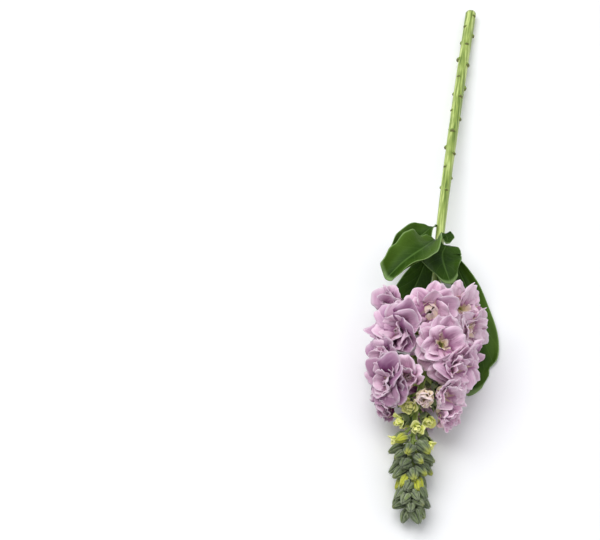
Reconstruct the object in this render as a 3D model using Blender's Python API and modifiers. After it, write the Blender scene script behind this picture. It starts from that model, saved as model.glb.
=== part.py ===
# A cut stem of double-flowered stock, lying on its side on a table.
# +Z is up, the stem runs along Y with its cut end at +Y and the tip of the bud spike at -Y.
# The origin is under the middle of the stem's box, on the table.
# Angles round the stem are in degrees from straight up, positive towards +X.

import math
import random

import bmesh
import bpy
from mathutils import Matrix, Vector

MM = 0.001
BLADE = 0.7 * MM
GAP = 0.4 * MM
SEED = 11

# The stem's centre line, from the cut end to the tip, as a smooth curve through these points.
AXIS_ROUTE = [
    (-2.0, 242.5, 3.9),
    (-4.6, 110.0, 12.0),
    (-5.4, -8.0, 19.0),
    (-2.8, -108.0, 23.0),
    (-7.0, -175.0, 18.0),
    (-3.0, -239.0, 10.5),
]
# Share of the way from the cut end to the tip, and the stem's radius there.
STEM_RADII = [(0.0, 4.2), (0.2, 3.9), (0.5, 3.3), (0.62, 2.9), (0.85, 1.9), (1.0, 0.9)]
STEM_RINGS = 20
STEM_SIDES = 3
SPIKE_RINGS = 10

# Leaf scars left where the lower leaves were stripped.
SCAR_FIRST = 9.0 * MM
SCAR_STEP = 7.6 * MM
SCAR_COUNT = 29
SCAR_SIZE = (2.6 * MM, 1.5 * MM)

# Each open flower: how far its face is from the tip of the spike, its turn round the stem,
# and how much longer its stalk is than the others.
BLOOMS = [
    (142, 50, -2),
    (148, -104, 1),
    (152, 176, -8),
    (132, 80, -1),
    (131, 160, -6),
    (131, -4, 1),
    (120, -50, 3),
    (112, 100, -2),
    (113, -160, -6),
    (81, -54, 1),
    (99, 56, -2),
    (109, 18, 1),
    (103, -84, 2),
    (97, 170, -6),
]
# The half-open flowers above them, in the same way.
YOUNG = [(89, -22, 3), (86, 60, 2), (75, 96, 0), (73, -92, 0), (78, 178, -4), (76, 13, 1)]
# Flowers under the stem are turned aside by the table, by up to this many degrees.
TABLE_PUSH = 30.0
# Past this turn the table presses a flower flat, and only its outer petals are solid.
PRESSED_TURN = 150.0
# How each kind grows: its lean off the stem towards the tip, its stalk, its cup of sepals,
# and the share of the room between neighbours that its petals take.
KINDS = {
    "bloom": {"lean": 64.0, "stalk": 13.0, "cup": 8.5, "cup_r": 2.6, "reach": 17.0},
    "young": {"lean": 50.0, "stalk": 9.5, "cup": 8.0, "cup_r": 2.7, "reach": 9.5},
    "opening": {"lean": 42.0, "stalk": 7.0, "cup": 7.0, "cup_r": 3.2, "reach": 4.0},
    "closed": {"lean": 52.0, "stalk": 6.5, "cup": 0.0, "cup_r": 0.0, "reach": 0.0},
}
# The buds above them sit on one spiral, each turned by the golden angle from the last.
GOLDEN_TURN = 137.5
OPENING_TURN = -20.0
OPENING_START, OPENING_END, OPENING_COUNT = 80.0, 58.0, 8
CLOSED_START, CLOSED_END, CLOSED_COUNT = 54.0, 6.0, 42
SPIKE_START = 82.0 * MM
# The bud spike is narrower here, by this share.
WAIST_AT, WAIST_DEPTH = 27.0, 0.35
# Length and radius of the closed buds at the tip, and of those lowest down.
TIP_BUD = (9.0, 2.7)
FULL_BUD = (12.5, 3.6)
STALK_RADII = (1.0 * MM, 1.0 * MM)
CENTRE_LIFT = 5.0 * MM

# Petal layers: petals in a ring, length, width, lift above the face, grid columns and rows.
BLOOM_LAYERS = [
    {"count": 5, "length": 26.0, "width": 23.0, "lift": 6.0, "turn": 0.0, "grid": (2, 2), "inset": 0.5},
    {"count": 3, "length": 16.5, "width": 16.5, "lift": 30.0, "turn": 40.0, "grid": (2, 2), "inset": 2.6},
]
YOUNG_LAYERS = [
    {"count": 4, "length": 17.0, "width": 15.0, "lift": 54.0, "turn": 0.0, "grid": (2, 2), "inset": 0.5},
]
# Half length and radius of the folded petals in the middle of a flower.
BLOOM_HEART = (5.6, 3.8)
YOUNG_HEART = (5.6, 3.6)
OPENING_HEART = (4.2, 3.5)
# A petal rises steeply in its narrow claw before it spreads.
CLAW_ANGLE = 84.0
CLAW_SHARE = 0.34
PETAL_ROOT = 1.2 * MM
# Neighbouring petals of a ring lie at different heights, in this order.
SEATS = (0, 2, 4, 1, 3)
SEAT_STEP = 0.5 * MM
# Petals bend up over this depth where they meet the side of their cell.
PRESS_SOFT = 3.5 * MM
PRESS_PUSH = 0.55

# Leaves: where each leaves the stem, and the points that its midrib runs through from there.
# bank rolls the blade about its midrib, wave is the height of the ripples at its edge, and fold
# is how far its two halves rise from the midrib, as a share of their width.
LEAVES = [
    {
        "at": 224,
        "turn": 22,
        "route": [(0, -27, 27), (0, -34, 29)],
        "width": 10,
        "bank": 4,
        "wave": 0.6,
        "fold": 0.2,
    },
    {
        "at": 217,
        "turn": -30,
        "route": [(-16, -47, 36), (-27, -61, 37), (-38, -73, 30)],
        "width": 25,
        "bank": -10,
        "wave": 2.2,
        "fold": 0.4,
    },
    {
        "at": 213,
        "turn": 30,
        "route": [(-2, -42, 27), (0, -54, 30), (6, -67, 26)],
        "width": 25,
        "bank": 8,
        "wave": 1.6,
        "fold": 0.14,
    },
    {
        "at": 214,
        "turn": 104,
        "route": [(16, -50, 7), (28, -82, 1), (30, -113, -2), (25, -139, -1)],
        "width": 28,
        "bank": 4,
        "wave": 1.2,
        "fold": 0.14,
    },
    {
        "at": 206,
        "turn": -106,
        "route": [(-18, -57, 7), (-27, -82, 0), (-31, -106, -2)],
        "width": 24,
        "bank": -4,
        "wave": 1.2,
        "fold": 0.14,
    },
    {
        "at": 232,
        "turn": -60,
        "route": [(-18, -22, 21), (-28, -33, 22), (-36, -44, 19)],
        "width": 21,
        "bank": 8,
        "wave": 1.2,
        "fold": 0.2,
    },
]
LEAF_GRID = (4, 9)
LEAF_SPREAD = 44.0
TABLE_CLEAR = 0.4 * MM
TABLE_SOFT = 1.5 * MM
# The room that the two lowest leaves take beside the stem: inner edge, top, and how far they reach.
LEAF_ROOM = [(13.5 * MM, 7.0 * MM, -146 * MM), (-16.5 * MM, 6.5 * MM, -114 * MM)]

COLOURS = {
    "stem_green": ((0.44, 0.55, 0.18), 0.55),
    "bud_green": ((0.15, 0.20, 0.09), 0.85),
    "leaf_green": ((0.045, 0.12, 0.018), 0.5),
    "petal_pink": ((0.70, 0.38, 0.62), 0.7),
    "young_pink": ((0.74, 0.47, 0.62), 0.7),
    "petal_yellow": ((0.58, 0.62, 0.10), 0.65),
}


def clear_scene():
    for obj in list(bpy.data.objects):
        bpy.data.objects.remove(obj, do_unlink=True)


def new_collection(name):
    collection = bpy.data.collections.new(name)
    bpy.context.scene.collection.children.link(collection)
    return collection


def plant_material(name):
    colour, roughness = COLOURS[name]
    material = bpy.data.materials.new(name)
    material.use_nodes = True
    shader = material.node_tree.nodes["Principled BSDF"]
    shader.inputs["Base Color"].default_value = (*colour, 1.0)
    shader.inputs["Roughness"].default_value = roughness
    shader.inputs["Metallic"].default_value = 0.0
    material.diffuse_color = (*colour, 1.0)
    return material


def smooth(x):
    x = min(1.0, max(0.0, x))
    return x * x * (3.0 - 2.0 * x)


def mix(a, b, share):
    return a + (b - a) * share


def curve_point(points, share):
    """A point on the Catmull-Rom curve through points, share of the way along their list."""
    place = share * (len(points) - 1)
    i = min(int(place), len(points) - 2)
    t = place - i
    before = points[i - 1] if i else points[0] * 2 - points[1]
    after = points[i + 2] if i + 2 < len(points) else points[-1] * 2 - points[-2]
    a, b = points[i], points[i + 1]
    return (
        a * 2
        + (b - before) * t
        + (before * 2 - a * 5 + b * 4 - after) * t**2
        + (a * 3 - before - b * 3 + after) * t**3
    ) * 0.5


class Axis:
    """The stem's centre line, measured from its tip."""

    def __init__(self):
        route = [Vector(p) * MM for p in AXIS_ROUTE]
        self.points = [curve_point(route, i / 240) for i in range(241)][::-1]
        self.along = [0.0]
        for a, b in zip(self.points, self.points[1:]):
            self.along.append(self.along[-1] + (b - a).length)
        self.length = self.along[-1]

    def at(self, from_tip):
        """(point, direction to the tip) at this distance from the tip."""
        i = 0
        while i < len(self.along) - 2 and self.along[i + 1] < from_tip:
            i += 1
        step = self.along[i + 1] - self.along[i]
        share = (from_tip - self.along[i]) / step
        a, b = self.points[i], self.points[i + 1]
        return a.lerp(b, share), (a - b).normalized()

    def radius(self, from_tip):
        share = 1.0 - from_tip / self.length
        for (s0, r0), (s1, r1) in zip(STEM_RADII, STEM_RADII[1:]):
            if share <= s1:
                return mix(r0, r1, (share - s0) / (s1 - s0)) * MM
        return STEM_RADII[-1][1] * MM

    def outward(self, from_tip, turn):
        """The direction away from the centre line, turn degrees from straight up."""
        _, ahead = self.at(from_tip)
        up = (Vector((0, 0, 1)) - ahead * ahead.z).normalized()
        side = up.cross(ahead)
        angle = math.radians(turn)
        return up * math.cos(angle) + side * math.sin(angle)


def frame_of(normal, hint):
    """Two directions across normal, the first one nearest to hint."""
    first = (hint - normal * hint.dot(normal)).normalized()
    return first, normal.cross(first)


def grown(axis, kind, number, from_tip, turn, lean, stalk):
    """A flower or bud that leaves the stem at from_tip: its place, direction and size."""
    rule = KINDS[kind]
    angle = math.radians((turn + 180.0) % 360.0 - 180.0)
    turn = math.degrees(angle) - TABLE_PUSH * math.sin(angle) * (1.0 - math.cos(angle)) / 2.0
    root, ahead = axis.at(from_tip * MM)
    out = axis.outward(from_tip * MM, turn)
    facing = (out * math.sin(math.radians(lean)) + ahead * math.cos(math.radians(lean))).normalized()
    mouth = root + facing * (stalk + rule["cup"]) * MM
    return {
        "kind": kind,
        "number": number,
        "flat": abs(math.degrees(angle)) > PRESSED_TURN,
        "root": root,
        "ahead": ahead,
        "facing": facing,
        "stalk": stalk * MM,
        "mouth": mouth,
        "centre": mouth + facing * CENTRE_LIFT,
        "reach": rule["reach"] * MM,
    }


def raceme(axis):
    """Every flower and bud, from the lowest open flower to the tip."""
    found = []
    for kind, table in (("bloom", BLOOMS), ("young", YOUNG)):
        rule = KINDS[kind]
        back = (rule["stalk"] + rule["cup"]) * math.cos(math.radians(rule["lean"]))
        for number, (face, turn, extra) in enumerate(table, 1):
            found.append(grown(axis, kind, number, face + back, turn, rule["lean"], rule["stalk"] + extra))
    turn = OPENING_TURN
    for i in range(OPENING_COUNT):
        from_tip = mix(OPENING_START, OPENING_END, i / (OPENING_COUNT - 1))
        rule = KINDS["opening"]
        found.append(grown(axis, "opening", i + 1, from_tip, turn, rule["lean"], rule["stalk"]))
        turn -= GOLDEN_TURN
    for i in range(CLOSED_COUNT):
        from_tip = mix(CLOSED_START, CLOSED_END, (i / (CLOSED_COUNT - 1)) ** 0.88)
        rule = KINDS["closed"]
        lean = rule["lean"] * (0.2 + 0.8 * smooth((from_tip - CLOSED_END) / 6.0))
        waist = 1.0 - WAIST_DEPTH * math.exp(-(((from_tip - WAIST_AT) / 6.0) ** 2))
        stalk = rule["stalk"] * (0.45 + 0.55 * from_tip / CLOSED_START) * waist
        found.append(grown(axis, "closed", i + 1, from_tip, turn, lean * waist, stalk))
        turn -= GOLDEN_TURN
    return found


def cell_planes(flower, flowers):
    """What a flower's petals stay within: its half of the way to each neighbour, and the table.
    Each is (a direction out of the cell, the furthest that a point may lie along it)."""
    planes = [(Vector((0, 0, -1)), 0.0), (-flower["facing"], -GAP - flower["facing"].dot(flower["mouth"]))]
    for edge, top, reach in LEAF_ROOM:
        side = math.copysign(1.0, edge)
        if flower["mouth"].y < reach - flower["reach"]:
            continue
        if flower["mouth"].x * side > edge * side:
            planes.append((Vector((0, 0, -1)), -top))
        elif flower["mouth"].z < 2 * top:
            planes.append((Vector((side, 0, 0)), edge * side))
    for other in flowers:
        if other is flower or not other["reach"]:
            continue
        across = other["centre"] - flower["centre"]
        if across.length > 1.5 * (flower["reach"] + other["reach"]):
            continue
        share = flower["reach"] / (flower["reach"] + other["reach"])
        direction = across.normalized()
        limit = direction.dot(flower["centre"]) + across.length * share - GAP / 2
        planes.append((direction, limit))
    return planes


def pressed(point, planes, facing, inset):
    """The point held back from the cell's sides, and pushed outwards by what it gave up."""
    for direction, limit in planes:
        edge = limit - inset
        over = point.dot(direction) - (edge - PRESS_SOFT)
        if over <= 0.0:
            continue
        kept = PRESS_SOFT * (1.0 - math.exp(-over / PRESS_SOFT))
        slide = facing - direction * facing.dot(direction)
        point = point - direction * (over - kept) + slide * (over - kept) * PRESS_PUSH
    return point


def mesh_object(name, mesh, collection):
    obj = bpy.data.objects.new(name, mesh)
    collection.objects.link(obj)
    return obj


def evaluated_mesh(obj):
    """The object's mesh with its modifiers applied, and the object removed."""
    graph = bpy.context.evaluated_depsgraph_get()
    mesh = bpy.data.meshes.new_from_object(obj.evaluated_get(graph), depsgraph=graph)
    mesh.transform(obj.matrix_world)
    bpy.data.objects.remove(obj, do_unlink=True)
    return mesh


def blade(name, place, grid, cutters, thickness=BLADE):
    """A thin blade: a flat grid bent by place(u, v), u across from -1 to 1 and v along from 0 to 1."""
    columns, rows = grid
    body = bmesh.new()
    bmesh.ops.create_grid(body, x_segments=columns, y_segments=rows, size=1.0)
    bmesh.ops.triangulate(body, faces=body.faces[:], quad_method="FIXED")
    for vertex in body.verts:
        vertex.co = place(vertex.co.x, (vertex.co.y + 1.0) / 2.0)
    mesh = bpy.data.meshes.new(name)
    body.to_mesh(mesh)
    body.free()
    obj = mesh_object(name, mesh, cutters)
    wall = obj.modifiers.new("Wall", "SOLIDIFY")
    wall.thickness = thickness
    wall.offset = 0.0
    bpy.context.view_layer.update()
    return mesh_object(name, evaluated_mesh(obj), cutters)


def petal_rise(lift, curl):
    """The petal's midline in its own upright plane, as (out, up, slope) at 13 even steps of length 1."""
    out, up, steps = 0.0, 0.0, []
    for i in range(13):
        v = i / 12
        slope = lift + (CLAW_ANGLE - lift) * (1.0 - smooth(v / CLAW_SHARE)) - curl * smooth((v - 0.5) / 0.5)
        steps.append((out, up, math.radians(slope)))
        out += math.cos(math.radians(slope)) / 12
        up += math.sin(math.radians(slope)) / 12
    return steps


def petal_place(flower, layer, azimuth, seat, draw, planes):
    """place(u, v) for one petal of a flower; seat is its turn in the overlap, 0 for the innermost."""
    facing = flower["facing"]
    first, second = frame_of(facing, flower["ahead"])
    out = first * math.cos(azimuth) + second * math.sin(azimuth)
    across = facing.cross(out)
    length = layer["length"] * MM * draw.uniform(0.93, 1.06)
    half = layer["width"] * MM / 2 * draw.uniform(0.94, 1.06)
    rise = petal_rise(layer["lift"] - 1.5 * seat, 10.0 + 2.5 * seat)
    cup = draw.uniform(0.05, 0.1)
    tilt = draw.uniform(-0.03, 0.03)
    low = seat * SEAT_STEP
    wave = draw.uniform(0.3, 0.6) * MM
    phase = draw.uniform(0, 2 * math.pi)
    inset = (layer["inset"] + 0.4 * (layer["count"] - 1 - seat)) * MM

    def place(u, v):
        wide = half * (0.16 + 0.84 * smooth((v - 0.1) / 0.55)) * (1.0 - 0.16 * smooth((v - 0.62) / 0.38))
        reach = v * (1.0 - 0.22 * u * u * v)
        i = min(int(reach * 12), 11)
        share = reach * 12 - i
        ends = zip(rise[i], rise[i + 1])
        ahead, up, slope = [mix(a, b, share) for a, b in ends]
        ridge = cup * u * u * wide + tilt * u * wide + wave * math.sin(2.4 * u + phase) * v * v
        lean = out * math.cos(slope) + facing * math.sin(slope)
        normal = across.cross(lean) * -1.0
        point = (
            flower["mouth"]
            + facing * (GAP + 2.6 * MM - low)
            + out * (PETAL_ROOT + low * 0.5 + ahead * length)
            + facing * up * length
            + across * u * wide
            + normal * ridge * smooth(v / 0.3)
        )
        return pressed(point, planes, facing, inset)

    return place


def ellipsoid(name, centre, direction, half_length, radius, cutters, segments, rings):
    """A long rounded body along direction."""
    body = bmesh.new()
    bmesh.ops.create_uvsphere(body, u_segments=segments, v_segments=rings, radius=1.0)
    for vertex in body.verts:
        vertex.co = vertex.co * Vector((radius, radius, half_length))
    mesh = bpy.data.meshes.new(name)
    body.to_mesh(mesh)
    body.free()
    turn = direction.to_track_quat("Z", "Y").to_matrix().to_4x4()
    mesh.transform(Matrix.Translation(centre) @ turn)
    return mesh_object(name, mesh, cutters)


def tapered(name, start, end, radii, cutters, segments=6):
    """A round peg from start to end with flat ends."""
    body = bmesh.new()
    run = end - start
    bmesh.ops.create_cone(
        body, cap_ends=True, segments=segments, radius1=radii[0], radius2=radii[1], depth=run.length
    )
    mesh = bpy.data.meshes.new(name)
    body.to_mesh(mesh)
    body.free()
    turn = run.to_track_quat("Z", "Y").to_matrix().to_4x4()
    mesh.transform(Matrix.Translation((start + end) / 2) @ turn)
    return mesh_object(name, mesh, cutters)


def tube(name, points, radii, resolution, cutters):
    """A round bar of changing radius along points, as a closed mesh."""
    curve = bpy.data.curves.new(name, "CURVE")
    curve.dimensions = "3D"
    curve.bevel_depth = 1.0
    curve.bevel_resolution = resolution
    curve.use_fill_caps = True
    spline = curve.splines.new("POLY")
    spline.points.add(len(points) - 1)
    for knot, point, radius in zip(spline.points, points, radii):
        knot.co = (*point, 1.0)
        knot.radius = radius
    obj = mesh_object(name, curve, cutters)
    bpy.context.view_layer.update()
    mesh = evaluated_mesh(obj)
    body = bmesh.new()
    body.from_mesh(mesh)
    bmesh.ops.remove_doubles(body, verts=body.verts[:], dist=0.02 * MM)
    bmesh.ops.recalc_face_normals(body, faces=body.faces[:])
    body.to_mesh(mesh)
    body.free()
    return mesh_object(name, mesh, cutters)


def box_of_cell(planes, cutters):
    """A closed block as large as the cell."""
    body = bmesh.new()
    bmesh.ops.create_cube(body, size=1.0)
    for direction, limit in planes:
        cut = bmesh.ops.bisect_plane(
            body,
            geom=body.verts[:] + body.edges[:] + body.faces[:],
            plane_co=direction * limit,
            plane_no=direction,
            clear_outer=True,
        )
        rim = [e for e in cut["geom_cut"] if isinstance(e, bmesh.types.BMEdge)]
        bmesh.ops.contextual_create(body, geom=rim)
    bmesh.ops.recalc_face_normals(body, faces=body.faces[:])
    mesh = bpy.data.meshes.new("cell")
    body.to_mesh(mesh)
    body.free()
    return mesh_object("cell", mesh, cutters)


def boolean(obj, operation, solver, other=None, collection=None):
    step = obj.modifiers.new(operation.title(), "BOOLEAN")
    step.operation = operation
    step.solver = solver
    if other:
        step.object = other
    else:
        step.operand_type = "COLLECTION"
        step.collection = collection


def fused(name, pieces, parts, cutters, material, planes, solver="EXACT"):
    """One body from pieces that run into each other, cut to stay within its planes."""
    group = bpy.data.collections.new(name + "_pieces")
    cutters.children.link(group)
    for piece in pieces[1:]:
        group.objects.link(piece)
        cutters.objects.unlink(piece)
    base = pieces[0]
    if len(pieces) > 1:
        boolean(base, "UNION", solver, collection=group)
    cell = box_of_cell(planes, cutters)
    boolean(base, "INTERSECT", solver, other=cell)
    bpy.context.view_layer.update()
    mesh = evaluated_mesh(base)
    for piece in list(group.objects):
        bpy.data.objects.remove(piece, do_unlink=True)
    bpy.data.collections.remove(group)
    bpy.data.objects.remove(cell, do_unlink=True)
    keep_largest(mesh)
    mesh.name = name
    mesh.materials.clear()
    mesh.materials.append(material)
    return mesh_object(name, mesh, parts)


def keep_largest(mesh):
    """Drops the loose scraps that a cut leaves, so that the mesh is one body."""
    body = bmesh.new()
    body.from_mesh(mesh)
    unseen, groups = set(body.verts), []
    while unseen:
        stack, group = [unseen.pop()], []
        while stack:
            vertex = stack.pop()
            group.append(vertex)
            for edge in vertex.link_edges:
                other = edge.other_vert(vertex)
                if other in unseen:
                    unseen.remove(other)
                    stack.append(other)
        groups.append(group)
    groups.sort(key=len, reverse=True)
    for group in groups[1:]:
        bmesh.ops.delete(body, geom=group, context="VERTS")
    body.to_mesh(mesh)
    body.free()


def petals_of(flower, layers, planes, cutters):
    draw = random.Random(SEED + flower["number"] * 7 + len(layers))
    start = draw.uniform(0, 2 * math.pi)
    made = []
    for layer in layers:
        for i in range(layer["count"]):
            azimuth = start + math.radians(layer["turn"] + 360.0 / layer["count"] * i + draw.uniform(-6, 6))
            seat = sorted(SEATS[: layer["count"]]).index(SEATS[i])
            place = petal_place(flower, layer, azimuth, seat, draw, planes)
            made.append(blade("petal", place, layer["grid"], cutters))
    return made


def open_flower(flower, flowers, name, layers, heart, parts, cutters, material):
    """One flower: petals in layers round a closed heart, held in the mouth of its green cup."""
    planes = cell_planes(flower, flowers)
    half, radius = heart[0] * MM, heart[1] * MM
    centre = flower["mouth"] + flower["facing"] * (half * 0.72)
    core = ellipsoid("heart", centre, flower["facing"], half, radius, cutters, 6, 4)
    pieces = [core] + petals_of(flower, layers, planes, cutters)
    # Thin petals lie close side by side here, which the exact solver leaves with open edges.
    return fused(name, pieces, parts, cutters, material, planes, solver="MANIFOLD")


def opening_bud(flower, name, parts, cutters, material):
    """The folded yellow-green petals that show at the mouth of a bud."""
    half, radius = OPENING_HEART[0] * MM, OPENING_HEART[1] * MM
    centre = flower["mouth"] + flower["facing"] * (half * 0.62)
    core = ellipsoid(name, centre, flower["facing"], half, radius, cutters, 8, 5)
    tip = [(-flower["facing"], -GAP - flower["facing"].dot(flower["mouth"])), (Vector((0, 0, -1)), 0.0)]
    return fused(name, [core], parts, cutters, material, tip)


def stalk_and_cup(flower, cutters):
    """The green stalk of a flower and the cup of sepals at its end."""
    facing = flower["facing"]
    cup_start = flower["root"] + facing * flower["stalk"]
    radius = KINDS[flower["kind"]]["cup_r"] * MM
    stalk = tapered("stalk", flower["root"], cup_start + facing * MM, STALK_RADII, cutters, 5)
    cup = tapered("cup", cup_start, flower["mouth"], (radius * 0.62, radius), cutters, 7)
    return [stalk, cup]


def scar_bumps(axis, cutters):
    """The small ledges left on the stem by stripped leaves, up a spiral from the cut end."""
    made = []
    for i in range(SCAR_COUNT):
        from_tip = axis.length - SCAR_FIRST - i * SCAR_STEP
        point, ahead = axis.at(from_tip)
        out = axis.outward(from_tip, 40.0 + i * GOLDEN_TURN)
        centre = point + out * (axis.radius(from_tip) - 0.1 * MM)
        slant = (ahead + out * 0.5).normalized()
        made.append(ellipsoid("scar", centre, slant, *SCAR_SIZE, cutters, 5, 3))
    return made


def stem_points(axis, first, last, count):
    places = [mix(first, last, i / (count - 1)) for i in range(count)]
    return [axis.at(p)[0] for p in places], [axis.radius(p) for p in places]


def build_stem(axis, flowers, parts, cutters, material):
    """The stem up to the bud spike, with its scars, and the stalks and cups of the flowers."""
    points, radii = stem_points(axis, axis.length, SPIKE_START, STEM_RINGS)
    pieces = [tube("stem", points, radii, STEM_SIDES, cutters)]
    pieces += scar_bumps(axis, cutters)
    for flower in flowers:
        if flower["kind"] in ("bloom", "young"):
            pieces += stalk_and_cup(flower, cutters)
    return fused("stem", pieces, parts, cutters, material, [(Vector((0, 0, -1)), 0.0)])


def build_spike(axis, flowers, parts, cutters, material):
    """The top of the stem with its closed buds, and the green cups of the opening ones."""
    points, radii = stem_points(axis, SPIKE_START - GAP, CLOSED_END * MM, SPIKE_RINGS)
    pieces = [tube("spike", points, radii, 2, cutters)]
    closed = [f for f in flowers if f["kind"] == "closed"]
    for flower in flowers:
        if flower["kind"] == "opening":
            pieces += stalk_and_cup(flower, cutters)
    for i, flower in enumerate(closed):
        share = i / (len(closed) - 1)
        length = mix(FULL_BUD[0], TIP_BUD[0], share) * MM
        radius = mix(FULL_BUD[1], TIP_BUD[1], share) * MM
        facing = flower["facing"]
        start = flower["root"] + facing * flower["stalk"]
        middle = start + facing * length * 0.46
        pieces.append(ellipsoid("bud", middle, facing, length / 2, radius, cutters, 5, 4))
        pieces.append(tapered("stalk", flower["root"], start + facing * MM, STALK_RADII, cutters, 3))
    table = [(Vector((0, 0, -1)), 0.0)]
    return fused("bud_spike", pieces, parts, cutters, material, table, solver="MANIFOLD")


def leaf_place(axis, leaf):
    """place(u, v) for one leaf: its midrib leaves the stem at a slant and runs along its route."""
    from_tip = leaf["at"] * MM
    root, ahead = axis.at(from_tip)
    out = axis.outward(from_tip, leaf["turn"])
    spread = math.radians(LEAF_SPREAD)
    first = (ahead * math.cos(spread) + out * math.sin(spread)).normalized()
    root_side = out.cross(ahead)
    start = root + first * (axis.radius(from_tip) / math.sin(spread) + GAP)
    route = [start, start + first * 7 * MM] + [Vector(p) * MM for p in leaf["route"]]
    steps = []
    for i in range(25):
        v = i / 24
        point = curve_point(route, v)
        before, after = curve_point(route, max(0.0, v - 0.01)), curve_point(route, min(1.0, v + 0.01))
        direction = (after - before).normalized()
        level = Vector((-direction.y, direction.x, 0.0)).normalized()
        side = Matrix.Rotation(math.radians(leaf["bank"]), 3, -direction) @ level
        if root_side.dot(side) < 0:
            root_side.negate()
        side = root_side.lerp(side, smooth(v / 0.5))
        side = (side - direction * side.dot(direction)).normalized()
        steps.append((point, side, direction.cross(side)))

    def place(u, v):
        along = v * (1.0 - 0.07 * u * u * v)
        i = min(int(along * 24), 23)
        share = along * 24 - i
        middle = steps[i][0].lerp(steps[i + 1][0], share)
        side = steps[i][1].lerp(steps[i + 1][1], share)
        normal = steps[i][2].lerp(steps[i + 1][2], share)
        half = leaf["width"] * MM / 2
        wide = half * (0.13 + 0.87 * smooth(v / 0.62)) * (1.0 - 0.42 * smooth((v - 0.66) / 0.34))
        phase = 1.9 if u > 0 else 0.0
        wave = leaf["wave"] * MM * math.sin(v * 15.0 + phase) * abs(u) ** 1.5 * smooth(v / 0.3)
        lift = leaf["fold"] * abs(u) ** 1.5 * wide + wave
        at = middle + side * u * wide + normal * lift
        low = TABLE_CLEAR + TABLE_SOFT
        if at.z < low:
            at.z = low - TABLE_SOFT * (1.0 - math.exp((at.z - low) / TABLE_SOFT))
        return at

    return place


def build_leaf(axis, leaf, name, parts, cutters, material):
    made = blade(name, leaf_place(axis, leaf), LEAF_GRID, cutters)
    mesh = made.data.copy()
    bpy.data.objects.remove(made, do_unlink=True)
    mesh.name = name
    mesh.materials.append(material)
    return mesh_object(name, mesh, parts)


def main():
    clear_scene()
    parts = new_collection("stock_flower_stem")
    cutters = new_collection("cutters")
    materials = {name: plant_material(name) for name in COLOURS}
    axis = Axis()
    flowers = raceme(axis)
    build_stem(axis, flowers, parts, cutters, materials["stem_green"])
    build_spike(axis, flowers, parts, cutters, materials["bud_green"])
    for flower in flowers:
        name = f"{flower['kind']}_{flower['number']:02d}"
        if flower["kind"] == "bloom":
            pink = materials["petal_pink"]
            layers = BLOOM_LAYERS[:1] if flower["flat"] else BLOOM_LAYERS
            open_flower(flower, flowers, name, layers, BLOOM_HEART, parts, cutters, pink)
        elif flower["kind"] == "young":
            pink = materials["young_pink"]
            open_flower(flower, flowers, name, YOUNG_LAYERS, YOUNG_HEART, parts, cutters, pink)
        elif flower["kind"] == "opening":
            opening_bud(flower, name, parts, cutters, materials["petal_yellow"])
    for i, leaf in enumerate(LEAVES):
        build_leaf(axis, leaf, f"leaf_{i + 1}", parts, cutters, materials["leaf_green"])


main()
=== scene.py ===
import math
import random

import bpy
from mathutils import Matrix, Vector, noise


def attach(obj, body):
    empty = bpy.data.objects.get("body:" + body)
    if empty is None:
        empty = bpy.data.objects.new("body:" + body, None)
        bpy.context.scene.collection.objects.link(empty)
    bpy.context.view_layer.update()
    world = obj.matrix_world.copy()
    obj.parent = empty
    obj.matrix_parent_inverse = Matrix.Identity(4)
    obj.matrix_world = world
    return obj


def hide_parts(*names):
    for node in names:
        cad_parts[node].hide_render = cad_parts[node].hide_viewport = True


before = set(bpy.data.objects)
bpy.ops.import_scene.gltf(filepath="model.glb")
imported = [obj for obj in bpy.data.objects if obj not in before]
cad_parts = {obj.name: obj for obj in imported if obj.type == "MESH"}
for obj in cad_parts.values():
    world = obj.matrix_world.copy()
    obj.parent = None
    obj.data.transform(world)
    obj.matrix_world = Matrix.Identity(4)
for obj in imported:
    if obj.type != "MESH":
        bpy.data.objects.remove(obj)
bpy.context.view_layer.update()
mm = 0.001


# Small helpers

def smooth(x):
    # a soft step from 0 at x = 0 to 1 at x = 1
    x = min(1.0, max(0.0, x))
    return x * x * (3.0 - 2.0 * x)


def late(x, start):
    # the same step, but from x = start
    return smooth((x - start) / (1.0 - start))


def mix(a, b, share):
    return a + (b - a) * share


def curvePoint(points, share):
    # a smooth curve through the points, share of the way along their list
    place = share * (len(points) - 1)
    i = min(int(place), len(points) - 2)
    t = place - i
    before = points[i - 1] if i else points[0] * 2 - points[1]
    after = points[i + 2] if i + 2 < len(points) else points[-1] * 2 - points[-2]
    a, b = points[i], points[i + 1]
    bend = (b - before) * t
    bend += (before * 2 - a * 5 + b * 4 - after) * t**2
    bend += (a * 3 - before - b * 3 + after) * t**3
    return a + bend * 0.5


def frameOf(normal, hint):
    # two directions at right angles to the normal, the first as near to the hint as can be
    first = (hint - normal * hint.dot(normal)).normalized()
    return first, normal.cross(first)


def deselect():
    bpy.ops.object.select_all(action="DESELECT")


def activate(piece):
    deselect()
    piece.select_set(True)
    bpy.context.view_layer.objects.active = piece


def joined(pieces, name):
    deselect()
    for piece in pieces:
        piece.select_set(True)
    bpy.context.view_layer.objects.active = pieces[0]
    if len(pieces) > 1:
        bpy.ops.object.join()
    pieces[0].name = name
    return pieces[0]


def applied(piece, kind, **values):
    # adds one modifier with these values and applies it
    activate(piece)
    step = piece.modifiers.new(kind.title(), kind)
    for key, value in values.items():
        setattr(step, key, value)
    bpy.ops.object.modifier_apply(modifier=step.name)


def finished(piece, material, slot, *nodes):
    # smooth shading, the material, and the piece's place in the frame
    activate(piece)
    bpy.ops.object.shade_smooth()
    piece.data.materials.clear()
    piece.data.materials.append(material)
    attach(piece, "root")
    if nodes:
        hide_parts(*nodes)
    return piece


# The stem's centre line, and the places of the flowers on it

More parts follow.
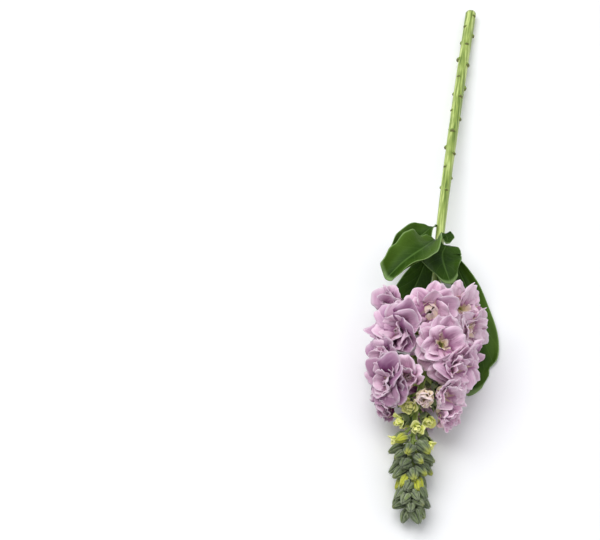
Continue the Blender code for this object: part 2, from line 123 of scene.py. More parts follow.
# Each radius comes after its share of the way from the cut end to the tip.
stemLine = {
    "route": [
        (-2.0, 242.5, 3.9),
        (-4.6, 110.0, 12.0),
        (-5.4, -8.0, 19.0),
        (-2.8, -108.0, 23.0),
        (-7.0, -175.0, 18.0),
        (-3.0, -239.0, 10.5),
    ],
    "radii": [(0.0, 4.2), (0.2, 3.9), (0.5, 3.3), (0.62, 2.9), (0.85, 1.9), (1.0, 0.9)],
    "steps": 240,
}
knots = [Vector(p) * mm for p in stemLine["route"]]
line = [curvePoint(knots, i / stemLine["steps"]) for i in range(stemLine["steps"] + 1)][::-1]
along = [0.0]
for a, b in zip(line, line[1:]):
    along.append(along[-1] + (b - a).length)
stemLength = along[-1]


def stemAt(fromTip):
    # the point and the direction to the tip, at this distance from the tip
    i = 0
    while i < len(along) - 2 and along[i + 1] < fromTip:
        i += 1
    share = (fromTip - along[i]) / (along[i + 1] - along[i])
    return line[i].lerp(line[i + 1], share), (line[i] - line[i + 1]).normalized()


def stemRadius(fromTip):
    share = 1.0 - fromTip / stemLength
    steps = stemLine["radii"]
    for (s0, r0), (s1, r1) in zip(steps, steps[1:]):
        if share <= s1:
            return mix(r0, r1, (share - s0) / (s1 - s0)) * mm
    return steps[-1][1] * mm


def outward(fromTip, turn):
    # away from the centre line, turn degrees from straight up
    ahead = stemAt(fromTip)[1]
    up = (Vector((0, 0, 1)) - ahead * ahead.z).normalized()
    side = up.cross(ahead)
    angle = math.radians(turn)
    return up * math.cos(angle) + side * math.sin(angle)


# For each open flower: how far its face is from the tip, its turn round the stem, and how much longer its
# stalk is than its kind's. The buds stand from start to end, each a golden turn after the last. The closed
# ones stand closer to the stem at the waist, and lean less at the tip.
flowerHead = {
    "bloom": [
        (142, 50, -2),
        (148, -104, 1),
        (152, 176, -8),
        (132, 80, -1),
        (131, 160, -6),
        (131, -4, 1),
        (120, -50, 3),
        (112, 100, -2),
        (113, -160, -6),
        (81, -54, 1),
        (99, 56, -2),
        (109, 18, 1),
        (103, -84, 2),
        (97, 170, -6),
    ],
    "young": [(89, -22, 3), (86, 60, 2), (75, 96, 0), (73, -92, 0), (78, 178, -4), (76, 13, 1)],
    "opening": {"start": 80.0, "end": 58.0, "count": 8, "crowding": 1.0, "tipLean": 1.0, "shortest": 1.0},
    "closed": {"start": 54.0, "end": 6.0, "count": 42, "crowding": 0.88, "tipLean": 0.5, "shortest": 0.45},
    "waist": {"at": 27.0, "depth": 0.35, "width": 6.0},
    "tipReach": 4.0,
    "budTurn": -20.0,
    "goldenTurn": 137.5,
    "tablePush": 30.0,
    "centreLift": 5.0,
    "gap": 0.4,
}
kinds = {
    "bloom": {"lean": 64.0, "stalk": 13.0, "cup": 8.5, "cupRadius": 2.6, "reach": 17.0},
    "young": {"lean": 50.0, "stalk": 9.5, "cup": 8.0, "cupRadius": 2.7, "reach": 9.5},
    "opening": {"lean": 42.0, "stalk": 7.0, "cup": 7.0, "cupRadius": 3.2, "reach": 4.0},
    "closed": {"lean": 52.0, "stalk": 6.5, "cup": 0.0, "cupRadius": 0.0, "reach": 0.0},
}

# What flowers are like without traits. hue goes from 0, a cream heart, to 1, lilac, and rises to the tip.
# They take the twists and hearts in turn.
habit = {
    "hueFrom": 140.0,
    "hueOver": 60.0,
    "hueShare": 0.7,
    "twists": (1.0, 0.4, 1.7),
    "hearts": ("hood", "open", "spiral"),
}

# Flowers with traits of their own. size scales the petals, twist tilts and shut lifts them, pale changes
# their tone, and rings is how many rings of them there are. deep darkens a flower: partly a deeper mauve,
# partly painted shade of neighbouring heads that are not in the scene. ripe gives an opening rosette more of
# its pale
# yellow tip colour: partly a riper tone, partly painted light on a rosette that lies in the shade of the
# flowers above it.
flowerTraits = {
    ("bloom", 1): {"size": 1.02, "twist": 1.5, "heart": "open", "hue": 0.0, "pale": 0.8, "rings": 3},
    ("bloom", 4): {"size": 0.98, "hue": 0.0, "pale": 0.82, "rings": 3},
    ("bloom", 6): {"size": 1.0, "heart": "hood", "twist": 1.2, "hue": 0.1, "pale": 0.3, "seed": 21},
    ("bloom", 7): {"size": 1.14, "twist": 2.0, "heart": "spiral", "hue": 0.6, "deep": 0.3},
    ("bloom", 10): {"size": 1.05, "heart": "spiral", "hue": 0.8, "deep": 1.6},
    ("bloom", 11): {"size": 0.95, "hue": 0.4, "pale": 0.45},
    ("bloom", 12): {"size": 0.98, "heart": "open", "hue": 0.05, "pale": 0.3, "rings": 3, "seed": 188},
    ("bloom", 13): {"hue": 0.7, "deep": 0.8},
    ("young", 1): {"size": 1.04, "pale": 0.7, "hue": 0.4},
    ("young", 2): {"size": 1.08, "hue": 0.2, "pale": 0.82},
    ("young", 3): {"size": 0.95, "shut": 8.0, "hue": 0.4, "pale": 0.6},
    ("young", 4): {"size": 0.85, "shut": 10.0, "hue": 0.8, "deep": 1.8},
    ("young", 6): {"size": 0.95, "folded": True, "hue": 0.0, "pale": 0.92},
    ("opening", 1): {"size": 1.3, "ripe": 0.6},
}


def grown(kind, number, fromTip, turn, lean, stalk):
    # leans out from the stem, and upwards where the table would be in its way
    rule = kinds[kind]
    angle = math.radians((turn + 180.0) % 360.0 - 180.0)
    push = flowerHead["tablePush"] * math.sin(angle) * (1.0 - math.cos(angle)) / 2.0
    root, ahead = stemAt(fromTip * mm)
    out = outward(fromTip * mm, math.degrees(angle) - push)
    facing = (out * math.sin(math.radians(lean)) + ahead * math.cos(math.radians(lean))).normalized()
    mouth = root + facing * (stalk + rule["cup"]) * mm
    hue = smooth((habit["hueFrom"] - fromTip) / habit["hueOver"])
    flower = {
        "kind": kind,
        "number": number,
        "fromTip": fromTip,
        "root": root,
        "ahead": ahead,
        "facing": facing,
        "stalk": stalk * mm,
        "mouth": mouth,
        "centre": mouth + facing * flowerHead["centreLift"] * mm,
        "reach": rule["reach"] * mm,
        "hue": mix((number % 3) / 2, hue, habit["hueShare"]),
        "twist": habit["twists"][number % 3],
        "size": 1.0,
        "shut": 0.0,
        "pale": 0.0,
        "deep": 0.0,
        "ripe": 0.0,
        "folded": False,
        "heart": habit["hearts"][number % 3],
    }
    flower.update(flowerTraits.get((kind, number), {}))
    return flower


def growHead():
    found = []
    for kind in ("bloom", "young"):
        rule = kinds[kind]
        back = (rule["stalk"] + rule["cup"]) * math.cos(math.radians(rule["lean"]))
        for number, (face, turn, extra) in enumerate(flowerHead[kind], 1):
            found.append(grown(kind, number, face + back, turn, rule["lean"], rule["stalk"] + extra))
    turn = flowerHead["budTurn"]
    for kind in ("opening", "closed"):
        rule, part, waist = kinds[kind], flowerHead[kind], flowerHead["waist"]
        for i in range(part["count"]):
            fromTip = mix(part["start"], part["end"], (i / (part["count"] - 1)) ** part["crowding"])
            slim = 1.0 - waist["depth"] * math.exp(-(((fromTip - waist["at"]) / waist["width"]) ** 2))
            fromEnd = smooth((fromTip - part["end"]) / flowerHead["tipReach"])
            lean = rule["lean"] * mix(part["tipLean"], 1.0, fromEnd) * slim
            stalk = rule["stalk"] * mix(part["shortest"], 1.0, fromTip / part["start"]) * slim
            found.append(grown(kind, i + 1, fromTip, turn, lean, stalk))
            turn -= flowerHead["goldenTurn"]
    return found


flowers = growHead()

# Each flower keeps to its own room, above the table and the low leaves. Neighbours share the way between
# them by their reach, and may overlap a little past that plane.
roomFor = {
    "table": 0.2,
    "tableSoft": 1.5,
    "leaves": [(13.5, 7.0, -146.0), (-16.5, 6.5, -114.0)],
    "near": 1.5,
    "softness": 4.5,
    "push": 0.4,
    "overlap": 3.5,
}


def cellPlanes(flower):
    mouth = flower["mouth"]
    down = Vector((0, 0, -1))
    planes = [(down, -roomFor["table"] * mm)]
    for edge, top, reach in roomFor["leaves"]:
        side = math.copysign(1.0, edge)
        if mouth.y < reach * mm - flower["reach"]:
            continue
        if mouth.x * side > edge * mm * side:
            planes.append((down, -top * mm))
        elif mouth.z < 2 * top * mm:
            planes.append((Vector((side, 0, 0)), edge * mm * side))
    for other in flowers:
        if other is flower or not other["reach"]:
            continue
        across = other["centre"] - flower["centre"]
        if across.length > roomFor["near"] * (flower["reach"] + other["reach"]):
            continue
        share = flower["reach"] / (flower["reach"] + other["reach"])
        direction = across.normalized()
        limit = direction.dot(flower["centre"]) + across.length * share
        planes.append((direction, limit + roomFor["overlap"] * mm))
    return planes


def pressed(point, planes, facing):
    # held back from the room's sides, and pushed outwards by what it gave up
    soft = roomFor["softness"] * mm
    for direction, limit in planes:
        over = point.dot(direction) - (limit - soft)
        if over <= 0.0:
            continue
        kept = soft * (1.0 - math.exp(-over / soft))
        slide = facing - direction * facing.dot(direction)
        point = point - direction * (over - kept) + slide * (over - kept) * roomFor["push"]
    return point


def aboveTable(point, clear=roomFor["table"]):
    # what would go into the table is pressed flat above it, in the same order
    soft = roomFor["tableSoft"] * mm
    low = clear * mm + soft
    if point.z < low:
        point.z = low - soft * (1.0 - math.exp((point.z - low) / soft))
    return point


print("placed", len(flowers), "flowers and buds")


# Materials

def node(tree, kind, **values):
    made = tree.nodes.new("ShaderNode" + kind)
    for key, value in values.items():
        setattr(made, key, value)
    return made


def feed(made, inputs):
    # links a node's inputs to sockets, or sets them to numbers, vectors or colours
    tree = made.id_data
    for key, value in inputs.items():
        socket = made.inputs[key]
        if isinstance(value, bpy.types.NodeSocket):
            tree.links.new(value, socket)
        elif socket.type == "RGBA":
            socket.default_value = (*value, 1.0)
        else:
            socket.default_value = value
    return made.outputs


def calculated(operation, a, b=0.0):
    # the node goes into the tree of the socket among its two inputs
    tree = (b if isinstance(a, float) else a).id_data
    return feed(node(tree, "Math", operation=operation), {0: a, 1: b})[0]


def times(first, *others):
    for other in others:
        first = calculated("MULTIPLY", first, other)
    return first


def less(a, b):
    return calculated("SUBTRACT", a, b)


def awayFrom(value, middle):
    return calculated("ABSOLUTE", less(value, middle))


def rising(value, low, high, curve="SMOOTHSTEP"):
    # 0 at low and 1 at high, either of which may be the greater number
    made = node(value.id_data, "MapRange", interpolation_type=curve)
    return feed(made, {"Value": value, "From Min": low, "From Max": high})[0]


def noiseAt(place, scale, detail):
    return feed(node(place.id_data, "TexNoise"), {"Vector": place, "Scale": scale, "Detail": detail})[0]


def mixColour(factor, a, b):
    return feed(node(factor.id_data, "Mix", data_type="RGBA"), {0: factor, 6: a, 7: b})[2]


def layered(look, body, layers):
    # the look's colours over the body, each one where its mask is high
    for mask, colour in layers:
        body = mixColour(mask, body, look[colour])
    return body


def ramp(factor, stops):
    made = node(factor.id_data, "ValToRGB")
    made.color_ramp.interpolation = "EASE"
    points = made.color_ramp.elements
    while len(points) < len(stops):
        points.new(0.5)
    for point, (place, colour) in zip(points, stops):
        point.position = place
        point.color = (*colour, 1.0)
    return feed(made, {0: factor})[0]


def newGroup(name, **inputs):
    # a node group that makes one mask from numbers
    group = bpy.data.node_groups.new(name, "ShaderNodeTree")
    for label, value in inputs.items():
        socket = group.interface.new_socket(label, in_out="INPUT", socket_type="NodeSocketFloat")
        socket.default_value = value
    group.interface.new_socket("Mask", in_out="OUTPUT", socket_type="NodeSocketFloat")
    return group, group.nodes.new("NodeGroupInput").outputs


def endGroup(group, value):
    # the group puts out the value, held between 0 and 1
    held = feed(node(group, "Clamp"), {0: value})[0]
    feed(group.nodes.new("NodeGroupOutput"), {"Mask": held})
    return group


def buildMottle():
    # soft patches: 0 to 1 over the surface, in object space
    group, given = newGroup("mottle", Scale=300.0, Contrast=2.0)
    place = node(group, "TexCoord").outputs["Object"]
    patches = noiseAt(place, given["Scale"], 3.0)
    spread = times(less(patches, 0.5), given["Contrast"])
    return endGroup(group, calculated("ADD", spread, 0.5))


def buildVeins():
    # thin lines that run from the foot of a blade to its tip, and fan out with it
    group, given = newGroup("fanVeins", Count=16.0, Width=0.12)
    place = node(group, "TexCoord").outputs["UV"]
    parts = feed(node(group, "SeparateXYZ"), {0: place})
    across = times(parts[0], given["Count"])
    upwards = times(parts[1], 2.2)
    stretched = feed(node(group, "CombineXYZ"), {0: across, 1: upwards})[0]
    away = awayFrom(noiseAt(stretched, 1.0, 1.0), 0.5)
    return endGroup(group, less(1.0, calculated("DIVIDE", away, given["Width"])))


mottle = buildMottle()
fanVeins = buildVeins()


def masked(tree, group, **values):
    made = node(tree, "Group", node_tree=group)
    return feed(made, values)[0]


def patchy(tree, scale, contrast):
    return masked(tree, mottle, Scale=scale, Contrast=contrast)


def veined(tree, count, width):
    return masked(tree, fanVeins, Count=count, Width=width)


def twoTone(tree, look):
    return mixColour(patchy(tree, *look["patches"]), look["dark"], look["light"])


def startMaterial(name, **values):
    material = bpy.data.materials.new(name)
    material.use_nodes = True
    for key, value in values.items():
        material.node_tree.nodes["Principled BSDF"].inputs[key.replace("_", " ")].default_value = value
    return material, material.node_tree


def painted(material, look, body, height):
    # the material with this colour, and with bumps of this height
    tree = material.node_tree
    strength, distance = look["bump"]
    bump = feed(node(tree, "Bump"), {"Height": height, "Strength": strength, "Distance": distance})
    feed(tree.nodes["Principled BSDF"], {"Base Color": body, "Normal": bump[0]})
    return material


def uvParts(tree):
    place = node(tree, "UVMap", uv_map="UVMap").outputs[0]
    return feed(node(tree, "SeparateXYZ"), {0: place})[:2]


def marking(tree, name):
    # one of the values that mark gives a piece
    return node(tree, "Attribute", attribute_name=name).outputs["Fac"]


# A petal's tones. shares says how much of each one shows, and spans where it starts and is full: along the
# petal from foot to tip, from its midline to its outline, or from the outer ring of petals to the heart.
petalLook = {
    "foot": (0.46, 0.50, 0.10),
    "throat": (0.80, 0.70, 0.44),
    "middle": (0.37, 0.105, 0.265),
    # rim and edge are paler margins: partly the petal's own, partly painted highlight where the thin edge
    # catches the light
    "rim": (0.98, 0.68, 0.85),
    "edge": (0.98, 0.86, 0.93),
    "shade": (0.19, 0.035, 0.14),
    "inner": (0.95, 0.655, 0.79),
    "cream": (0.92, 0.76, 0.70),
    "yolk": (0.93, 0.84, 0.38),
    "lilac": (0.36, 0.16, 0.40),
    "surface": {
        "Roughness": 0.55,
        "Subsurface_Weight": 0.07,
        "Subsurface_Scale": 0.0015,
        "Subsurface_Radius": (1.0, 0.45, 0.7),
        "Sheen_Weight": 0.12,
        "Sheen_Roughness": 0.4,
    },
    "patches": (150.0, 2.2),
    "crepe": (1100.0, 1.5),
    "veins": (18.0, 0.05),
    "streaks": (7.0, 0.16),
    "shares": {
        "lilac": 0.6,
        "patches": 0.35,
        "tint": 0.7,
        "veins": 0.4,
        "paintedFootShade": 0.88,
        "rim": (0.88, 0.46),
        "streaks": (0.38, 0.22),
        "inner": 0.66,
        "edge": 0.45,
        "milky": 0.4,
        "cream": 0.7,
    },
    "spans": {
        "paintedFootShade": (0.6, 0.2),
        "free": (0.3, 0.6),
        "rim": (0.5, 1.0),
        "inner": (0.1, 0.7),
        "edge": (0.84, 0.98),
        "milkyIn": (0.7, 0.85),
        "milkyOut": (0.92, 0.86),
        "cream": (0.85, 0.95),
        "yolk": (1.1, 0.5),
        "throat": (0.33, 0.18),
        "throatIn": (0.1, 0.6),
        "foot": (0.16, 0.06),
    },
    "veinDepth": 0.6,
    "bump": (0.6, 0.0002),
}


def petalMaterial():
    # a mauve blade with a paler rim and edge that are partly painted highlight, painted shade towards the
    # foot of the outer petals, a cream throat and a yellow-green foot
    look = petalLook
    share = look["shares"]
    material, tree = startMaterial("petalLilac", **look["surface"])
    u, v = uvParts(tree)
    tint, depth, hue = [marking(tree, name) for name in ("tint", "inner", "hue")]

    def span(name, value):
        return rising(value, *look["spans"][name])

    def fading(name):
        # a share that is smaller where the tint is high
        full, loss = share[name]
        return less(full, times(tint, loss))

    outline = calculated("MAXIMUM", times(awayFrom(u, 0.5), 2.0), v)
    free = span("free", v)
    patches = patchy(tree, *look["patches"])
    veins = veined(tree, *look["veins"])
    streaks = veined(tree, *look["streaks"])
    cream = times(span("cream", depth), less(1.0, hue), share["cream"])
    milky = times(span("milkyIn", depth), span("milkyOut", depth), share["milky"])
    layers = [
        (times(hue, share["lilac"]), "lilac"),
        (times(patches, share["patches"]), "shade"),
        # darker petals at random, and more so on deep flowers, where it is partly painted shade
        (times(tint, share["tint"]), "shade"),
        (times(veins, share["veins"]), "shade"),
        # painted shade towards the foot of the outer petals, where the petals above would shade them
        (times(span("paintedFootShade", v), less(1.0, depth), share["paintedFootShade"]), "shade"),
        # the paler rim: partly the petal's own margin, partly painted highlight
        (times(span("rim", outline), free, fading("rim")), "rim"),
        (times(streaks, free, fading("streaks")), "rim"),
        (times(depth, span("inner", v), share["inner"]), "inner"),
        # a near-white line along the edge: partly the pale margin, partly painted highlight where the thin
        # edge catches the light
        (times(span("edge", outline), free, share["edge"]), "edge"),
        (times(milky, free), "edge"),
        (cream, "cream"),
        (times(cream, span("yolk", v)), "yolk"),
        (times(span("throat", v), span("throatIn", depth)), "throat"),
        (span("foot", v), "foot"),
    ]
    height = less(patchy(tree, *look["crepe"]), times(veins, look["veinDepth"]))
    return painted(material, look, layered(look, look["middle"], layers), height)


def tipMask(tree, look):
    # the tip of a piece, which reaches further down where its tint is high
    tint = marking(tree, "tint")
    reach = calculated("ADD", uvParts(tree)[1], times(tint, look["pull"]))
    return times(rising(reach, *look["span"]), rising(tint, *look["tinted"]))


stemLook = {
    "skin": (0.33, 0.44, 0.09),
    "pale": (0.68, 0.80, 0.27),
    "dark": (0.13, 0.21, 0.03),
    "roughness": 0.48,
    "stretch": (600.0, 20.0, 600.0),
    "stops": ((0.32, "dark"), (0.48, "skin"), (0.67, "pale")),
    "patches": (110.0, 2.6),
    "patchShare": 0.35,
    "bump": (0.2, 0.0004),
}


def stemMaterial():
    # long pale and green streaks along the stem
    look = stemLook
    material, tree = startMaterial("stemSkin", Roughness=look["roughness"])
    place = node(tree, "TexCoord").outputs["Object"]
    stretched = feed(node(tree, "Mapping"), {"Vector": place, "Scale": look["stretch"]})[0]
    streaks = noiseAt(stretched, 1.0, 2.0)
    body = ramp(streaks, [(at, look[tone]) for at, tone in look["stops"]])
    patches = times(patchy(tree, *look["patches"]), look["patchShare"])
    return painted(material, look, mixColour(patches, body, look["dark"]), streaks)


# Skins in two tones that change to a third one towards the tip: the tones, the change's span and the felt.
tippedLooks = {
    "scarSkin": (stemLook["dark"], stemLook["skin"], (0.17, 0.17, 0.06), (1.3, 1.45), 0.0),
    "cupSkin": ((0.06, 0.09, 0.03), (0.19, 0.25, 0.09), (0.36, 0.40, 0.16), (1.0, 1.5), 0.3),
    "yellowSkin": ((0.70, 0.78, 0.05), (0.88, 0.92, 0.11), (0.95, 0.94, 0.36), (0.7, 1.2), 0.7),
}
tippedForm = {
    "patches": (500.0, 2.4),
    "roughness": 0.7,
    "pull": 0.6,
    "tinted": (0.02, 0.2),
    "bump": (0.6, 0.0003),
}


def tippedMaterial(name):
    look = {**tippedForm, **dict(zip(("dark", "light", "tip", "span", "felt"), tippedLooks[name]))}
    surface = {"Roughness": look["roughness"], "Sheen_Weight": look["felt"], "Sheen_Roughness": 0.5}
    material, tree = startMaterial(name, **surface)
    body = mixColour(tipMask(tree, look), twoTone(tree, look), look["tip"])
    return painted(material, look, body, patchy(tree, *look["patches"]))


budLook = {
    "groove": (0.020, 0.035, 0.010),
    "dark": (0.060, 0.095, 0.030),
    "light": (0.27, 0.35, 0.12),
    "felt": (0.64, 0.71, 0.47),
    "tip": (0.62, 0.66, 0.04),
    "surface": {"Roughness": 0.8, "Sheen_Weight": 0.3, "Sheen_Roughness": 0.5},
    "ribs": (26.0, 0.1),
    "ribShare": 0.75,
    "patches": (420.0, 3.0),
    "ageShare": 0.6,
    "seam": (0.36, 0.48),
    "seamShare": 0.85,
    "seamDepth": 1.5,
    "pull": 0.62,
    "span": (0.84, 1.16),
    "tinted": (0.02, 0.2),
    "bump": (0.8, 0.0004),
}


def budMaterial():
    # felted sepals: pale ribs along each one, and a dark seam where two meet
    look = budLook
    material, tree = startMaterial("budSkin", **look["surface"])
    quarter = calculated("FRACT", times(uvParts(tree)[0], 4.0))
    seam = rising(awayFrom(quarter, 0.5), *look["seam"])
    ribs = veined(tree, *look["ribs"])
    layers = [
        (times(ribs, look["ribShare"]), "felt"),
        (times(marking(tree, "inner"), look["ageShare"]), "dark"),
        (times(seam, look["seamShare"]), "groove"),
        (tipMask(tree, look), "tip"),
    ]
    height = less(ribs, times(seam, look["seamDepth"]))
    return painted(material, look, layered(look, twoTone(tree, look), layers), height)


hairLook = {
    "dark": (0.24, 0.30, 0.18),
    "light": (0.44, 0.50, 0.34),
    "roughness": 0.8,
    "patches": (200.0, 2.4),
    "fine": (1000.0, 2.0),
    "bump": (0.6, 0.0003),
}


def hairMaterial():
    look = hairLook
    material, tree = startMaterial("hairSkin", Roughness=look["roughness"])
    return painted(material, look, twoTone(tree, look), patchy(tree, *look["fine"]))


leafLook = {
    "dark": (0.012, 0.040, 0.002),
    "light": (0.038, 0.092, 0.004),
    "paleSides": (0.11, 0.21, 0.02),
    "vein": (0.11, 0.21, 0.045),
    "margin": (0.26, 0.40, 0.14),
    "surface": {"Roughness": 0.5, "Specular_IOR_Level": 0.13},
    "patches": (90.0, 2.0),
    "fine": (700.0, 2.0),
    "fineHeight": 0.35,
    "veinCount": 9.0,
    "veinSlant": 2.2,
    "rib": (0.07, 0.02),
    "ribShare": 0.6,
    "branch": (0.06, 0.0),
    "branchShare": 0.25,
    "paleSidesSpan": (0.1, 0.9),
    "marginSpan": (0.94, 0.985),
    "marginShare": 0.8,
    "bump": (0.5, 0.0006),
}


def leafMaterial():
    # a dark blade with a pale midrib, slanting side veins and a pale margin
    look = leafLook
    material, tree = startMaterial("leafSkin", **look["surface"])
    u, v = uvParts(tree)
    side = times(awayFrom(u, 0.5), 2.0)
    slant = less(times(v, look["veinCount"]), times(side, look["veinSlant"]))
    saw = awayFrom(calculated("FRACT", slant), 0.5)
    rib = times(rising(side, *look["rib"], "LINEAR"), look["ribShare"])
    branch = times(rising(saw, *look["branch"], "LINEAR"), look["branchShare"])
    lines = calculated("MAXIMUM", rib, branch)
    paleSides = rising(side, *look["paleSidesSpan"])
    margin = rising(calculated("MAXIMUM", side, v), *look["marginSpan"])
    layers = [
        (lines, "vein"),
        # lighter green towards the sides of the blade, by the leaf's own share
        (times(marking(tree, "tint"), paleSides), "paleSides"),
        (times(margin, look["marginShare"]), "margin"),
    ]
    height = less(times(patchy(tree, *look["fine"]), look["fineHeight"]), lines)
    return painted(material, look, layered(look, twoTone(tree, look), layers), height)


petalSkin = petalMaterial()
stemSkin = stemMaterial()
leafSkin = leafMaterial()
scarSkin = tippedMaterial("scarSkin")
cupSkin = tippedMaterial("cupSkin")
budSkin = budMaterial()
hairSkin = hairMaterial()
yellowSkin = tippedMaterial("yellowSkin")
print("materials made")


# Plain models that the pieces are bent from

def bladeModel(name, columns, rows):
    # 2 wide and 1 long, with its foot at the origin
    deselect()
    bpy.ops.mesh.primitive_grid_add(x_subdivisions=columns, y_subdivisions=rows, size=2, location=(0, 1, 0))
    blade = bpy.context.object
    blade.name = name
    bpy.ops.object.mode_set(mode="EDIT")
    bpy.ops.mesh.select_all(action="SELECT")
    bpy.ops.transform.resize(value=(1.0, 0.5, 1.0), center_override=(0, 0, 0))
    bpy.ops.object.mode_set(mode="OBJECT")
    bpy.ops.object.transform_apply(location=True, rotation=True, scale=True)
    return blade


def tubeModel(name, sides, rings):
    # an upright tube, 1 in radius and 1 tall, closed at both ends
    deselect()
    bpy.ops.mesh.primitive_cylinder_add(
        vertices=sides, radius=1.0, depth=1.0, location=(0, 0, 0.5), end_fill_type="TRIFAN"
    )
    tube = bpy.context.object
    tube.name = name
    bpy.ops.object.mode_set(mode="EDIT")
    for i in range(1, rings):
        bpy.ops.mesh.select_all(action="SELECT")
        bpy.ops.mesh.bisect(plane_co=(0, 0, i / rings), plane_no=(0, 0, 1))
    bpy.ops.object.mode_set(mode="OBJECT")
    bpy.ops.object.transform_apply(location=True, rotation=True, scale=True)
    return tube


def ballModel(name, segments, rings):
    # a ball, 1 in radius
    deselect()
    bpy.ops.mesh.primitive_uv_sphere_add(segments=segments, ring_count=rings, radius=1.0)
    ball = bpy.context.object
    ball.name = name
    return ball


def shaped(model, name, place):
    # a copy of a model, each point moved to place(x, y, z)
    mesh = model.data.copy()
    places = []
    for vertex in model.data.vertices:
        places.extend(place(*vertex.co))
    mesh.vertices.foreach_set("co", places)
    piece = bpy.data.objects.new(name, mesh)
    bpy.context.scene.collection.objects.link(piece)
    return piece


def mark(piece, tint, inner=0.0, hue=0.0):
    # the values that the materials read
    for name, value in (("tint", tint), ("inner", inner), ("hue", hue)):
        layer = piece.data.attributes.new(name, "FLOAT", "POINT")
        layer.data.foreach_set("value", [value] * len(piece.data.vertices))


def bent(model, place, tint=0.0, inner=0.0, hue=0.0):
    # a copy of a flat blade, each point moved to place(u, v)
    piece = shaped(model, "blade", lambda x, y, z: place(x, y))
    mark(piece, tint, inner, hue)
    return piece


petalBlade = bladeModel("petalBlade", 16, 18)
smallBlade = bladeModel("smallBlade", 14, 12)
sepalBlade = bladeModel("sepalBlade", 6, 10)
leafBlade = bladeModel("leafBlade", 22, 56)

# The random draws of every kind of piece start from a number of its own.
seeds = {"flower": 100, "opening": 340, "cup": 500, "scar": 600, "bud": 700, "hair": 41}


# Petals

# Each kind's rings of petals, from the outside in, and the petals rolled round its heart, from the inside
# out. A ring's curl bends its petals back and a negative one bends them in. A negative close flares.
ringKeys = ("count", "length", "width", "lift", "sway", "curl", "turn", "cup", "tilt")
petalRings = {
    "bloom": [
        (6, 23.0, 19.0, 6.0, 9.0, 32.0, 0.0, -0.06, 0.16),
        (6, 20.0, 17.0, 22.0, 11.0, 36.0, 30.0, -0.03, 0.2),
        (5, 16.5, 15.0, 40.0, 13.0, 36.0, 10.0, 0.04, 0.2),
        (4, 13.0, 13.0, 60.0, 13.0, 26.0, 50.0, 0.14, 0.12),
    ],
    "young": [
        (5, 17.0, 15.0, 42.0, 12.0, 22.0, 0.0, 0.04, 0.16),
        (5, 14.0, 12.5, 62.0, 10.0, 10.0, 36.0, 0.16, 0.12),
    ],
    "folded": [
        (5, 13.5, 12.0, 70.0, 3.0, -62.0, 0.0, 0.42, 0.1),
        (4, 12.0, 11.0, 78.0, 3.0, -66.0, 30.0, 0.5, 0.1),
    ],
}
heartKeys = ("count", "height", "inside", "step", "spread", "close", "loosen")
hearts = {
    "hood": (7, 15.5, 5.8, 0.5, 1.35, 1.0, 0.12),
    "open": (8, 13.2, 2.0, 0.5, 0.95, -0.75, 0.0),
    "spiral": (5, 11.5, 2.2, 0.8, 1.9, 0.8, 0.16),
    "young": (6, 11.5, 2.4, 0.42, 1.25, 1.0, 0.12),
    "opening": (9, 6.8, 1.1, 0.32, 1.0, 0.9, 0.2),
}
petalForm = {
    "steps": 12,
    "clawAngle": 84.0,
    "clawShare": 0.34,
    "root": 1.2,
    "seatStep": 0.35,
    "seatLift": 1.5,
    "seatHeight": 2.6,
    "seats": (0, 2, 4, 1, 3, 5),
    "jitter": 14,
    "lengths": (0.86, 1.05),
    "widths": (0.85, 1.1),
    "footWidth": 0.5,
    "footLength": 0.44,
    "curls": (-12, 26),
    "cups": (-0.1, 0.14),
    "tilts": (-0.08, 0.08),
    "keels": (0.0, 0.0, 0.3, 0.55, -0.2),
    "pleat": (0.4, 1.3),
    "pleats": (1.5, 2.5, 2.5),
    "ripple": 0.9,
    "ripples": (0.6, 1.3),
    "beats": (3.0, 4.0, 5.0),
    "frill": 0.38,
    "roll": (-0.7, 1.3),
    "notches": (0.0, 0.12),
    "notchWidth": 0.05,
    "crumple": (1.5, 7.0),
    "crepe": (0.5, 2.0),
    "thickness": 0.2,
}


def petalRise(lift, curl):
    # the midline in its own upright plane: out, up and slope at even steps of a length of 1
    count = petalForm["steps"]
    out, up, steps = 0.0, 0.0, []
    for i in range(count + 1):
        v = i / count
        foot = (petalForm["clawAngle"] - lift) * (1.0 - smooth(v / petalForm["clawShare"]))
        slope = math.radians(lift + foot - curl * late(v, 0.5))
        steps.append((out, up, slope))
        out += math.cos(slope) / count
        up += math.sin(slope) / count
    return steps


